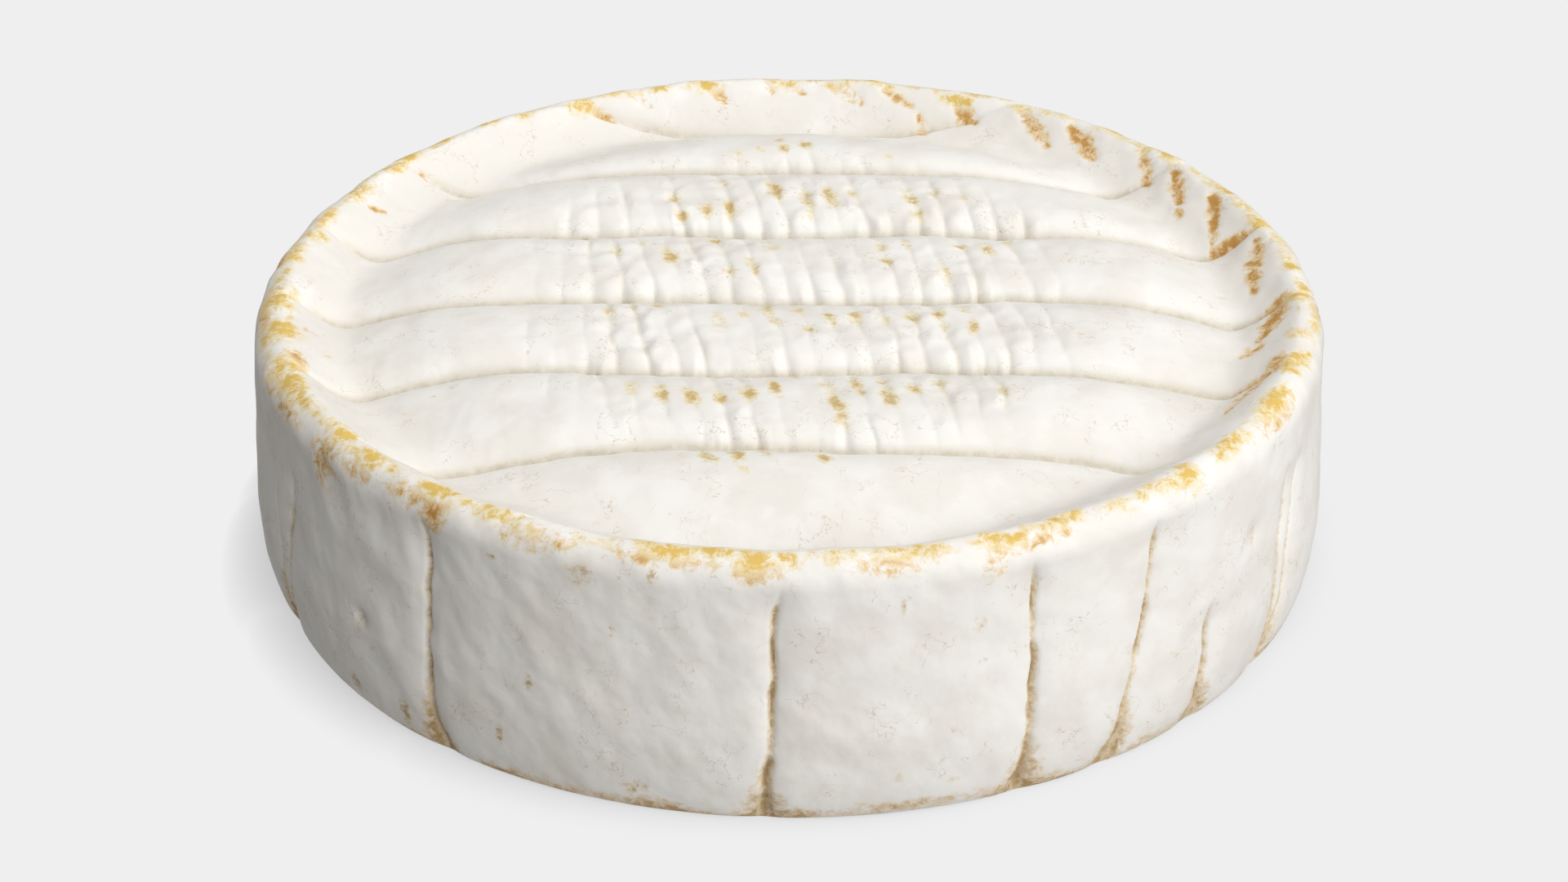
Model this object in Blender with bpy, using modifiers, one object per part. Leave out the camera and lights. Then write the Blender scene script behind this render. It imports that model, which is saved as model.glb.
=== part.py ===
"""A whole wheel of soft cheese with a white rind: a low drum with a raised rim and a dished, ribbed top.

The wheel is one solid. Its profile is turned about Z, then the top is pressed down into the
dish with its broad ribs, and the wall is drawn in along the cracks that split it into panels.
Metres, +Z up, origin at the centre of the foot. The ribs run along X, and -Y is the front.
"""

import math

import bpy
import numpy as np

# Overall form.
HEIGHT = 0.029
SHOULDER_RADIUS = 0.0550
FOOT_FLARE = 0.0008

# Rim and foot roundings, each a quarter ellipse.
RIM_ROUND_WIDTH = 0.0028
RIM_ROUND_HEIGHT = 0.0032
FOOT_ROUND_WIDTH = 0.0027
FOOT_ROUND_HEIGHT = 0.0105

# The dish: an inner wall falls from the rim to a moat, and a crowned plateau fills the middle.
MOAT_RADIUS = 0.0460
MOAT_DEPTH = 0.0042
MOAT_ROUNDING = 0.0012
PLATEAU_DEPTH = 0.0013
PLATEAU_SLOPE = 0.0150
WALL_BIAS = 0.77

# Broad ribs across the dish, with a sharp valley between each two. One valley runs through the
# middle. Each strays a little: how far, its wavelength, and where along X it is furthest forward.
RIB_PITCH = 0.0153
RIB_HEIGHT = 0.0014
RIB_CREST_SHARE = 0.60
RIB_FAR_POWER = 2.2
RIB_NEAR_POWER = 3.0
RIB_ON_WALL = 0.75
RIB_FULL_WIDTH = 0.010
RIB_FADE = 0.0045
VALLEY_STRAY = {
    2: (0.0001, 0.060, 0.030),
    1: (0.0003, 0.025, 0.000),
    0: (0.0004, 0.038, 0.004),
    -1: (0.0004, 0.038, -0.006),
    -2: (0.0004, 0.044, 0.010),
}

# Cracks down the wall: angle at the top and at the foot in degrees, top height, depth.
# Angles run anticlockwise from +X, so the front of the wheel is at -90.
CRACKS = (
    (-160.5, -158.5, 0.023, 0.0009),
    (-154.2, -158.5, 0.021, 0.0007),
    (-129.5, -128.7, 0.025, 0.0011),
    (-91.3, -93.1, 0.025, 0.0009),
    (-65.4, -65.8, 0.025, 0.0010),
    (-50.2, -56.1, 0.025, 0.0010),
    (-42.3, -43.4, 0.013, 0.0009),
    (-26.6, -31.0, 0.021, 0.0007),
    (-23.0, -31.0, 0.021, 0.0007),
    (-3.0, -5.5, 0.024, 0.0009),
    (16.0, 18.5, 0.022, 0.0010),
    (44.0, 40.0, 0.025, 0.0010),
    (63.0, 64.5, 0.015, 0.0008),
    (84.0, 86.5, 0.025, 0.0011),
    (111.0, 108.0, 0.024, 0.0009),
    (134.0, 137.0, 0.025, 0.0010),
    (158.0, 156.5, 0.019, 0.0008),
    (173.0, 175.5, 0.024, 0.0009),
)
CRACK_HALF_WIDTH = 0.0007
CRACK_FOOT_SPREAD = 1.7
CRACK_BEND = 0.7
CRACK_FADE = 0.0035
PANEL_ROLL_DEPTH = 0.00025
PANEL_ROLL_WIDTH = 0.0030

# Mesh density.
TURN_STEPS = 384
TOP_STEP = 0.0007
ROUND_POINTS = 7
WALL_POINTS = 14
TRIANGLES = 9000

CREST_RADIUS = SHOULDER_RADIUS - RIM_ROUND_WIDTH
FOOT_RADIUS = SHOULDER_RADIUS + FOOT_FLARE
FLAT_RADIUS = FOOT_RADIUS - FOOT_ROUND_WIDTH

RIND_COLOR = (0.86, 0.84, 0.79, 1.0)
RIND_ROUGHNESS = 0.75


def clear_scene():
    """Takes every object out of the open scene."""
    for thing in list(bpy.data.objects):
        bpy.data.objects.remove(thing, do_unlink=True)


def smooth_step(share):
    """Eases from 0 to 1 with level ends."""
    share = np.clip(share, 0.0, 1.0)
    return share * share * (3.0 - 2.0 * share)


def wheel_profile():
    """The turned section from the middle of the top, over the rim and down to the middle of the foot."""
    quarter = [math.radians(90.0 * i / ROUND_POINTS) for i in range(ROUND_POINTS + 1)]
    top_points = round(CREST_RADIUS / TOP_STEP)
    points = [(CREST_RADIUS * i / top_points, HEIGHT) for i in range(top_points)]
    shoulder_z = HEIGHT - RIM_ROUND_HEIGHT
    for angle in quarter:
        radius = CREST_RADIUS + RIM_ROUND_WIDTH * math.sin(angle)
        points.append((radius, shoulder_z + RIM_ROUND_HEIGHT * math.cos(angle)))
    for i in range(1, WALL_POINTS):
        share = i / WALL_POINTS
        radius = SHOULDER_RADIUS + FOOT_FLARE * share
        points.append((radius, shoulder_z + (FOOT_ROUND_HEIGHT - shoulder_z) * share))
    for angle in quarter:
        radius = FLAT_RADIUS + FOOT_ROUND_WIDTH * math.cos(angle)
        points.append((radius, FOOT_ROUND_HEIGHT * (1.0 - math.sin(angle))))
    points.append((FLAT_RADIUS * 0.5, 0.0))
    points.append((0.0, 0.0))
    return points


def turned_mesh(points):
    """The profile turned about Z with a Screw modifier, as a plain mesh."""
    outline = bpy.data.meshes.new("wheel_outline")
    edges = [(i, i + 1) for i in range(len(points) - 1)]
    outline.from_pydata([(radius, 0.0, z) for radius, z in points], edges, [])
    turned = bpy.data.objects.new("wheel_outline", outline)
    bpy.context.scene.collection.objects.link(turned)
    screw = turned.modifiers.new("turn", "SCREW")
    screw.axis = "Z"
    screw.steps = TURN_STEPS
    screw.render_steps = TURN_STEPS
    screw.use_merge_vertices = True
    screw.merge_threshold = 0.00001
    graph = bpy.context.evaluated_depsgraph_get()
    mesh = bpy.data.meshes.new_from_object(turned.evaluated_get(graph))
    bpy.data.objects.remove(turned)
    return mesh


def dish_depth(radius):
    """How deep the dish lies under the rim's crest: down the inner wall, then up to the plateau."""
    inward = MOAT_RADIUS - radius
    down = np.clip((CREST_RADIUS - radius) / (CREST_RADIUS - MOAT_RADIUS), 0.0, 1.0)
    wall = MOAT_DEPTH * smooth_step(down**WALL_BIAS)
    climb = (np.hypot(inward, MOAT_ROUNDING) - MOAT_ROUNDING) / PLATEAU_SLOPE
    rise = (MOAT_DEPTH - PLATEAU_DEPTH) * (1.0 - (1.0 - np.clip(climb, 0.0, 1.0)) ** 2)
    return np.where(inward > 0.0, MOAT_DEPTH - rise, wall)


def rib_section(share):
    """A rib's height from 0 to 1, from its far valley at share 0 to its near valley at share 1."""
    far = np.clip(share / RIB_CREST_SHARE, 0.0, 1.0)
    near = np.clip((share - RIB_CREST_SHARE) / (1.0 - RIB_CREST_SHARE), 0.0, 1.0)
    far_side = 1.0 - (1.0 - far) ** RIB_FAR_POWER
    near_side = np.sqrt(1.0 - near ** RIB_NEAR_POWER)
    return np.where(share < RIB_CREST_SHARE, far_side, near_side)


def valley_stray(x, y):
    """How far the nearest valley strays towards the back."""
    stray = np.zeros_like(x)
    for valley, (reach, wavelength, front_x) in VALLEY_STRAY.items():
        near = np.abs(y / RIB_PITCH - valley) < 0.5
        wave = -reach * np.cos((x - front_x) * 2.0 * math.pi / wavelength)
        stray = np.where(near, wave, stray)
    return stray


def rib_rise(x, y):
    """The ribs' height over the valleys: full on the plateau, lower where they climb the inner wall."""
    share = np.mod((valley_stray(x, y) - y) / RIB_PITCH, 1.0)
    radius = np.hypot(x, y)
    from_moat = (MOAT_RADIUS - radius) / RIB_FULL_WIDTH
    strength = RIB_ON_WALL + (1.0 - RIB_ON_WALL) * smooth_step(from_moat)
    fade = smooth_step((CREST_RADIUS - radius) / RIB_FADE)
    return RIB_HEIGHT * strength * fade * rib_section(share)


def crack_inset(angle, z):
    """How far the wall is drawn in at a crack, and more gently where the panels roll in towards it."""
    inset = np.zeros_like(z)
    for top_angle, foot_angle, top_z, depth in CRACKS:
        share = np.clip(z / top_z, 0.0, 1.0)
        line = np.radians(foot_angle + (top_angle - foot_angle) * share**CRACK_BEND)
        turn = np.mod(angle - line + math.pi, 2.0 * math.pi) - math.pi
        across = turn * SHOULDER_RADIUS
        half_width = CRACK_HALF_WIDTH * (CRACK_FOOT_SPREAD + (1.0 - CRACK_FOOT_SPREAD) * share)
        cut = depth * np.exp(-((across / half_width) ** 2))
        roll = PANEL_ROLL_DEPTH * np.exp(-((across / PANEL_ROLL_WIDTH) ** 2))
        fade = smooth_step((top_z - z) / CRACK_FADE)
        inset = np.maximum(inset, fade * (cut + roll))
    return inset


def form_wheel(mesh):
    """Moves the turned mesh's points into the dish, the ribs and the cracks."""
    places = np.empty(len(mesh.vertices) * 3)
    mesh.vertices.foreach_get("co", places)
    x, y, z = places.reshape(-1, 3).T
    radius = np.hypot(x, y)
    in_dish = (radius < CREST_RADIUS) & (z > HEIGHT / 2)
    drop = np.where(in_dish, dish_depth(radius) - rib_rise(x, y), 0.0)
    on_wall = (radius > MOAT_RADIUS) & ~in_dish
    inset = np.where(on_wall, crack_inset(np.arctan2(y, x), z), 0.0)
    shrink = 1.0 - inset / np.maximum(radius, MOAT_RADIUS)
    formed = np.stack([x * shrink, y * shrink, z - drop], axis=1)
    mesh.vertices.foreach_set("co", formed.ravel())
    mesh.update()


def thin_mesh(wheel):
    """Thins the fine mesh to few triangles, which stay closest along the valleys and cracks."""
    wheel.data.calc_loop_triangles()
    thin = wheel.modifiers.new("thin", "DECIMATE")
    thin.ratio = TRIANGLES / len(wheel.data.loop_triangles)
    thin.use_collapse_triangulate = True


def rind_material():
    """The white rind: matt and slightly warm."""
    material = bpy.data.materials.new("rind")
    material.use_nodes = True
    shader = material.node_tree.nodes["Principled BSDF"]
    shader.inputs["Base Color"].default_value = RIND_COLOR
    shader.inputs["Roughness"].default_value = RIND_ROUGHNESS
    shader.inputs["Metallic"].default_value = 0.0
    return material


def build():
    """Makes the cheese wheel in its own collection."""
    clear_scene()
    collection = bpy.data.collections.new("cheese_wheel")
    bpy.context.scene.collection.children.link(collection)
    mesh = turned_mesh(wheel_profile())
    mesh.name = "cheese_wheel"
    form_wheel(mesh)
    wheel = bpy.data.objects.new("cheese_wheel", mesh)
    collection.objects.link(wheel)
    mesh.materials.append(rind_material())
    mesh.shade_smooth()
    thin_mesh(wheel)


build()
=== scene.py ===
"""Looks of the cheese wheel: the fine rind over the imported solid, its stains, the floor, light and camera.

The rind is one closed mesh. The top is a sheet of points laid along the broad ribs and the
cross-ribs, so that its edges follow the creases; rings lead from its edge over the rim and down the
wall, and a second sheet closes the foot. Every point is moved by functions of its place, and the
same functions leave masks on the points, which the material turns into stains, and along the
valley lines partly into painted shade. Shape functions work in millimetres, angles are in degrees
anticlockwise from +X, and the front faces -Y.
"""

import itertools
import math

import bpy
import numpy as np
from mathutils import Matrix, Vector
from mathutils.geometry import delaunay_2d_cdt


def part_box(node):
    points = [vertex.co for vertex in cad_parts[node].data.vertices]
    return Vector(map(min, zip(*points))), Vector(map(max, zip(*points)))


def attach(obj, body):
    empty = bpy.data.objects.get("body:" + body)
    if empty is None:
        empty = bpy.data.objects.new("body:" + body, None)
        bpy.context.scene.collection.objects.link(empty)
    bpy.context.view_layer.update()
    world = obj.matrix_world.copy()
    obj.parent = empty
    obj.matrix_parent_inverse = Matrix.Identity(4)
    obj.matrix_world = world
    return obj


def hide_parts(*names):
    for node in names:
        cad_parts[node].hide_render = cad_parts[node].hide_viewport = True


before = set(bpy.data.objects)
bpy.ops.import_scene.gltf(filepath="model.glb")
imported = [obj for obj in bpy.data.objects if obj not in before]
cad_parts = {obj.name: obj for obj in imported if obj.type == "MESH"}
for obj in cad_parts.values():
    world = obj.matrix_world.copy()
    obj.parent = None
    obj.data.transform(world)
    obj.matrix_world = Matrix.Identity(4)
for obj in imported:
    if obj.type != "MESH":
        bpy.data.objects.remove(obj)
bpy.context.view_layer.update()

MM = 0.001
node_low, node_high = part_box("cheese_wheel")

# ---- Overall form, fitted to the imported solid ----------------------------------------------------

HEIGHT = 29.0
FOOT_RADIUS = (node_high[0] - node_low[0]) / 2 / MM
FOOT_FLARE = 0.8
SHOULDER_RADIUS = FOOT_RADIUS - FOOT_FLARE
RIM_ROUND_WIDTH = 2.8
RIM_ROUND_HEIGHT = 3.2
CREST_RADIUS = SHOULDER_RADIUS - RIM_ROUND_WIDTH
FOOT_ROUND_WIDTH = 2.7
FOOT_ROUND_HEIGHT = 10.5
FLAT_RADIUS = FOOT_RADIUS - FOOT_ROUND_WIDTH

# The dish: an inner wall falls from the rim to a moat, and a crowned plateau fills the middle.
MOAT_RADIUS = 46.0
MOAT_DEPTH = 4.2
MOAT_ROUNDING = 1.2
PLATEAU_DEPTH = 1.3
PLATEAU_SLOPE = 15.0
WALL_BIAS = 0.77
INNER_WALL_STRETCH = 1.3

# Broad ribs along X. Each valley strays a little: how far, its wavelength, where it is furthest forward.
RIB_PITCH = 15.3
RIB_HEIGHT = 2.2
VALLEY_SINK = 0.5
RIB_CREST_SHARE = 0.6
VALLEY_STRAY = {
    2: (0.1, 60.0, 30.0),
    1: (0.3, 25.0, 0.0),
    0: (0.4, 38.0, 4.0),
    -1: (0.4, 38.0, -6.0),
    -2: (0.4, 44.0, 10.0),
}

# Cross-ribs over the middle of the dish, leaning so that each gains one pitch across a broad rib.
CROSS_PITCH = 2.8
CROSS_START = 1.4
CROSS_LEAN = CROSS_PITCH / RIB_PITCH
CROSS_DEPTH = 0.42
CROSS_REACH = 36.0

# Mesh density.
RING_POINTS = 1536
COLUMNS_PER_CROSS_RIB = 10
ROW_STEP = 0.3
VALLEY_ROW_STEP = 0.12
RING_STEP = 0.3

# ---- Marks placed one by one -----------------------------------------------------------------------

# How much farther the stains spread than the half-sizes below.
STAIN_SPREAD = 1.6

# Cracks down the wall: angle at the top and at the foot, height of the top, depth.
CRACKS = (
    (-160.5, -158.5, 23.0, 1.2),
    (-154.2, -158.5, 21.0, 1.0),
    (-129.5, -128.7, 25.0, 1.3),
    (-91.3, -93.1, 25.0, 0.9),
    (-65.4, -65.8, 25.0, 1.0),
    (-50.2, -56.1, 25.0, 1.0),
    (-42.3, -43.4, 13.0, 0.9),
    (-26.6, -31.0, 21.0, 0.7),
    (-23.0, -31.0, 21.0, 0.7),
    (-3.0, -5.5, 24.0, 0.9),
    (16.0, 18.5, 22.0, 1.0),
    (44.0, 40.0, 25.0, 1.0),
    (63.0, 64.5, 15.0, 0.8),
    (84.0, 86.5, 25.0, 1.1),
    (111.0, 108.0, 24.0, 0.9),
    (134.0, 137.0, 25.0, 1.0),
    (158.0, 156.5, 19.0, 0.8),
    (173.0, 175.5, 24.0, 0.9),
)

# Yellow patches on the rim: angle, half its width in degrees, how far outside the crest its middle
# lies, half its length across the rim, strength.
OCHRE_PATCHES = (
    (-178.5, 2.2, 0.6, 1.5, 0.85),
    (-171.0, 1.9, 0.2, 1.5, 1.0),
    (-162.2, 1.4, 0.6, 1.5, 0.85),
    (-158.0, 2.2, 0.9, 1.0, 1.0),
    (-154.2, 1.8, 1.0, 0.8, 0.75),
    (-147.0, 1.2, 0.0, 0.5, 0.6),
    (-145.2, 1.1, 0.3, 1.0, 1.0),
    (-139.6, 1.7, 0.7, 0.9, 0.95),
    (-136.3, 1.2, 0.6, 0.6, 0.6),
    (-129.3, 2.3, 0.5, 0.7, 1.0),
    (-125.8, 1.6, 0.5, 0.5, 0.7),
    (-121.8, 1.7, 0.6, 0.8, 0.9),
    (-118.6, 1.0, 0.9, 0.8, 0.7),
    (-108.2, 1.8, 0.5, 0.6, 0.4),
    (-105.2, 1.4, 0.3, 0.6, 0.6),
    (-102.2, 1.8, 0.8, 0.7, 1.0),
    (-98.2, 2.2, 0.3, 0.7, 0.85),
    (-93.6, 1.3, 1.1, 1.0, 1.0),
    (-86.3, 2.2, 0.5, 0.8, 0.4),
    (-77.0, 2.0, 0.8, 0.7, 0.85),
    (-69.6, 1.1, 0.5, 0.7, 0.9),
    (-67.4, 1.3, 1.4, 0.6, 0.9),
    (-63.6, 1.8, 0.7, 0.6, 0.8),
    (-60.9, 1.6, 0.4, 0.6, 0.9),
    (-54.5, 1.4, 0.7, 0.5, 0.55),
    (-50.8, 1.2, 1.1, 0.5, 0.55),
    (-48.0, 0.9, 0.6, 0.4, 0.5),
    (-44.7, 1.0, 0.9, 1.3, 1.0),
    (-36.3, 2.0, 0.7, 0.8, 0.95),
    (-26.2, 2.3, 0.8, 0.9, 1.0),
    (-17.4, 1.4, 0.4, 0.9, 0.95),
    (-13.5, 0.4, 1.7, 0.3, 0.9),
    (-10.1, 0.7, 0.2, 1.1, 0.6),
    (-4.5, 3.5, 1.9, 0.5, 0.65),
    (-0.8, 1.0, 0.2, 1.3, 0.9),
    (1.3, 1.4, 1.1, 0.8, 0.7),
    (6.6, 0.9, 0.7, 0.9, 0.95),
    (9.0, 1.2, 0.6, 0.7, 0.5),
    (18.3, 1.5, 0.2, 0.8, 0.9),
    (25.0, 3.5, 0.5, 0.6, 0.45),
    (31.5, 3.0, 0.5, 0.5, 0.4),
    (37.5, 1.5, 0.1, 0.5, 0.55),
    (40.8, 0.9, -0.2, 0.7, 0.8),
    (55.0, 2.5, 0.2, 0.5, 0.4),
    (59.5, 1.5, 0.0, 0.7, 0.6),
    (68.3, 1.5, -0.9, 0.7, 1.0),
    (78.2, 1.8, -0.3, 0.6, 0.65),
    (84.0, 1.4, -0.6, 0.7, 0.55),
    (90.2, 1.0, -0.8, 0.8, 0.75),
    (100.6, 1.4, -0.5, 0.8, 0.9),
    (106.4, 1.5, -0.2, 0.6, 0.8),
    (109.6, 0.9, -0.4, 0.5, 0.5),
    (116.8, 1.2, -0.6, 0.9, 0.85),
    (125.0, 1.0, 0.0, 0.7, 0.75),
    (143.0, 1.5, 0.2, 0.5, 0.8),
    (145.4, 0.9, -0.3, 0.6, 0.9),
    (153.4, 1.8, -0.2, 0.8, 0.85),
    (161.0, 1.5, 0.1, 0.7, 0.95),
    (165.2, 1.3, -0.2, 1.0, 0.8),
    (171.0, 1.8, 0.3, 0.8, 0.7),
)

# Orange-brown fringes of the patches, placed the same way.
RUST_PATCHES = (
    (-175.0, 5.0, 2.0, 0.6, 0.9),
    (-171.5, 2.0, -1.2, 0.5, 0.6),
    (-163.8, 1.4, -0.9, 0.8, 1.0),
    (-160.5, 3.0, 2.3, 0.9, 0.6),
    (-155.5, 2.5, 3.0, 0.6, 0.6),
    (-145.8, 1.6, 3.4, 2.2, 0.6),
    (-139.8, 1.8, 2.3, 0.9, 0.5),
    (-132.0, 2.2, 2.3, 0.9, 0.6),
    (-128.3, 1.0, 2.9, 1.3, 0.8),
    (-116.5, 3.0, 2.1, 0.9, 0.5),
    (-103.0, 3.2, 1.7, 0.6, 0.6),
    (-98.8, 1.2, 1.9, 0.5, 0.6),
    (-93.4, 1.6, 2.3, 0.8, 0.8),
    (-79.5, 2.5, 2.0, 0.8, 0.5),
    (-76.0, 1.5, 1.5, 0.5, 0.5),
    (-69.5, 1.0, 3.6, 0.9, 0.35),
    (-67.0, 2.0, 2.2, 0.5, 0.6),
    (-63.5, 2.0, 2.0, 0.5, 0.6),
    (-45.3, 0.9, 2.0, 0.5, 0.6),
    (-27.5, 3.0, 2.0, 0.7, 0.6),
    (-16.5, 1.5, -1.2, 1.0, 0.9),
    (-9.8, 0.8, -0.9, 0.5, 0.5),
    (-2.5, 1.2, 2.3, 0.6, 0.8),
    (-1.0, 1.0, -1.6, 1.2, 0.9),
    (171.5, 1.3, 1.7, 0.9, 0.9),
)

# Rusty folds down the inner wall: angle and distance from the crest at both ends (inwards is
# negative), half its width, strength.
INNER_STREAKS = (
    (-174.0, -5.3, -173.0, -3.0, 0.6, 0.25),
    (-169.5, -5.4, -167.5, -5.0, 0.4, 0.3),
    (-27.5, -5.3, -19.0, -2.6, 0.6, 0.55),
    (-18.8, -6.5, -16.9, -0.6, 0.3, 0.6),
    (-11.0, -6.5, -7.0, -4.2, 0.8, 0.5),
    (-7.0, -4.2, -1.3, -1.8, 0.8, 1.0),
    (-0.5, -4.5, 0.3, -0.5, 0.5, 0.9),
    (5.0, -5.0, 14.5, -1.4, 0.65, 0.8),
    (19.3, -5.8, 17.2, -0.8, 0.35, 0.9),
    (20.0, -5.2, 22.0, -4.0, 0.4, 0.6),
    (22.2, -4.0, 27.2, -0.9, 0.6, 1.0),
    (27.7, -6.2, 29.0, -5.3, 0.45, 0.6),
    (29.8, -4.3, 34.8, -1.1, 0.6, 0.95),
    (37.2, -3.7, 41.2, -0.6, 0.4, 0.75),
    (46.5, -4.3, 52.0, -1.2, 0.6, 0.9),
    (53.6, -4.6, 59.5, -0.8, 0.5, 0.7),
    (65.5, -2.9, 68.0, -1.9, 0.5, 1.0),
    (70.8, -5.5, 72.8, -4.0, 0.35, 0.6),
    (74.0, -3.0, 78.0, -1.1, 0.35, 0.7),
    (80.5, -3.2, 85.0, -0.5, 0.5, 0.45),
    (88.3, -2.0, 91.0, -0.4, 0.4, 0.5),
    (92.0, -2.3, 93.2, -0.2, 0.35, 0.35),
    (98.2, -3.1, 101.0, -0.3, 0.45, 0.7),
    (108.8, -2.2, 110.5, -0.5, 0.3, 0.4),
    (113.5, -3.0, 117.0, -0.3, 0.3, 0.6),
    (142.3, -3.6, 143.3, -1.6, 0.25, 0.5),
    (153.3, -4.2, 154.3, -2.6, 0.3, 0.7),
)

# Ochre dabs in the creases between cross-ribs. For each broad rib, counted from the middle valley:
# the crease's number, how far down the rib, half its length, strength.
DABS = {
    2: (
        (0, 0.71, 1.0, 1.0),
        (-1, 0.76, 0.8, 0.7),
        (-1, 0.60, 0.7, 0.7),
        (-2, 0.80, 0.5, 0.6),
        (-3, 0.86, 0.6, 0.5),
        (3, 0.88, 0.4, 0.4),
    ),
    1: (
        (-5, 0.63, 1.0, 0.7),
        (-5, 0.86, 0.6, 0.9),
        (-4, 0.82, 0.9, 0.9),
        (-3, 0.76, 1.2, 1.0),
        (-3, 0.37, 1.2, 0.4),
        (-1, 0.50, 1.6, 0.9),
        (0, 0.63, 1.6, 0.6),
        (0, 0.82, 0.8, 0.6),
        (1, 0.60, 1.6, 0.9),
        (4, 0.66, 1.8, 0.7),
        (4, 0.86, 0.8, 0.8),
        (2, 0.56, 1.0, 0.4),
        (5, 0.56, 1.2, 0.4),
        (6, 0.63, 1.0, 0.3),
    ),
    0: (
        (-7, 0.48, 1.4, 0.4),
        (-6, 0.33, 0.4, 0.6),
        (-5, 0.56, 1.4, 0.9),
        (-3, 0.25, 0.6, 0.9),
        (-3, 0.74, 1.0, 0.6),
        (-2, 0.64, 1.4, 0.7),
        (-1, 0.35, 1.2, 0.4),
        (0, 0.18, 0.8, 0.5),
        (3, 0.37, 1.4, 0.6),
        (3, 0.60, 0.6, 1.0),
        (4, 0.35, 1.2, 0.5),
        (5, 0.74, 1.2, 0.5),
        (6, 0.38, 0.4, 0.9),
        (7, 0.44, 1.4, 0.8),
        (8, 0.25, 0.9, 0.6),
    ),
    -1: (
        (-7, 0.33, 1.1, 0.6),
        (-6, 0.23, 1.0, 0.4),
        (-5, 0.16, 1.2, 0.5),
        (-3, 0.47, 1.6, 0.4),
        (-2, 0.36, 1.2, 0.4),
        (-1, 0.23, 1.4, 0.9),
        (-1, 0.46, 0.9, 0.6),
        (0, 0.26, 1.0, 0.6),
        (0, 0.58, 0.6, 0.7),
        (1, 0.37, 0.4, 1.0),
        (1, 0.46, 0.9, 0.8),
        (2, 0.39, 1.1, 0.9),
        (3, 0.46, 0.9, 0.4),
        (4, 0.42, 1.1, 0.7),
        (5, 0.37, 0.9, 0.8),
        (5, 0.55, 1.2, 0.4),
        (6, 0.59, 1.2, 0.8),
        (6, 0.30, 1.2, 0.4),
        (7, 0.07, 0.7, 0.7),
    ),
    -2: (
        (-6, 0.39, 1.2, 0.7),
        (-5, 0.47, 1.4, 0.9),
        (-4, 0.52, 1.3, 1.0),
        (-3, 0.52, 0.9, 0.9),
        (-2, 0.46, 1.2, 1.0),
        (-1, 0.39, 1.5, 1.0),
        (0, 0.11, 0.8, 0.6),
        (1, 0.34, 1.2, 0.5),
        (1, 0.60, 1.6, 1.0),
        (1, 0.76, 1.4, 0.7),
        (2, 0.34, 1.5, 0.9),
        (3, 0.31, 1.0, 0.6),
        (3, 0.52, 1.4, 0.9),
        (4, 0.42, 1.2, 0.8),
        (5, 0.34, 1.2, 0.5),
        (7, 0.47, 1.5, 0.6),
    ),
    -3: (
        (-5, 0.09, 0.6, 0.4),
        (-4, 0.25, 0.9, 0.4),
        (-3, 0.19, 1.3, 0.9),
        (-2, 0.19, 1.4, 1.0),
        (-2, 0.39, 0.6, 0.5),
        (-1, 0.13, 1.2, 0.6),
        (1, 0.21, 0.9, 1.0),
        (0, 0.06, 0.6, 0.5),
    ),
}

# Small stains on the wall: angle, height, half-width, half-height, strength.
WALL_STAINS = (
    (-110.8, 26.0, 1.6, 1.3, 0.55),
    (-103.4, 27.0, 0.5, 0.9, 0.8),
    (-120.7, 25.4, 0.5, 0.4, 0.7),
    (-107.6, 20.6, 0.3, 0.8, 0.6),
    (-116.5, 13.1, 0.9, 1.0, 0.5),
    (-120.2, 6.0, 0.5, 1.1, 0.8),
    (-105.6, 3.3, 1.3, 0.9, 0.75),
    (-133.2, 3.5, 0.8, 1.8, 0.8),
    (-141.0, 3.5, 0.8, 1.4, 0.8),
    (-139.2, 11.4, 0.5, 0.9, 0.7),
    (-79.0, 24.2, 0.3, 0.9, 0.6),
    (-71.4, 21.2, 0.7, 1.0, 0.45),
    (-70.6, 26.6, 0.8, 0.7, 0.45),
    (-73.7, 4.2, 0.7, 0.4, 0.6),
    (-79.4, 5.5, 0.6, 0.6, 0.45),
    (-35.0, 18.6, 0.5, 1.2, 0.5),
    (20.0, 9.0, 0.8, 1.2, 0.5),
    (31.0, 22.0, 0.5, 0.9, 0.6),
    (58.0, 17.0, 0.9, 1.0, 0.45),
    (79.0, 24.5, 0.6, 1.2, 0.5),
    (97.0, 8.0, 0.5, 1.0, 0.6),
    (122.0, 20.0, 0.8, 0.9, 0.5),
    (147.0, 12.0, 0.6, 1.2, 0.6),
    (166.0, 24.0, 0.7, 0.8, 0.5),
)

# Pits in the wall: angle, height, radius, depth.
PITS = ((-139.0, 12.0, 0.9, 0.5), (-35.0, 18.5, 1.3, 0.35), (75.0, 14.0, 1.0, 0.4))


# ---- Helpers ---------------------------------------------------------------------------------------


def smooth_step(share):
    """Eases from 0 to 1 with level ends."""
    share = np.clip(share, 0.0, 1.0)
    return share * share * (3.0 - 2.0 * share)


def hump(distance, width):
    """A soft bump: 1 at distance 0, falling to nothing over a couple of widths."""
    return np.exp(-((distance / width) ** 2))


def patch(sideways, lengthways):
    """A patch that is full in its middle and gone past about 1.6, from distances in its own half-sizes."""
    return np.exp(-((sideways**2 + lengthways**2) ** 1.2))


def turn_between(angle, line):
    """The signed angle from line to angle, the short way round."""
    return np.mod(angle - line + 180.0, 360.0) - 180.0


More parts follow.
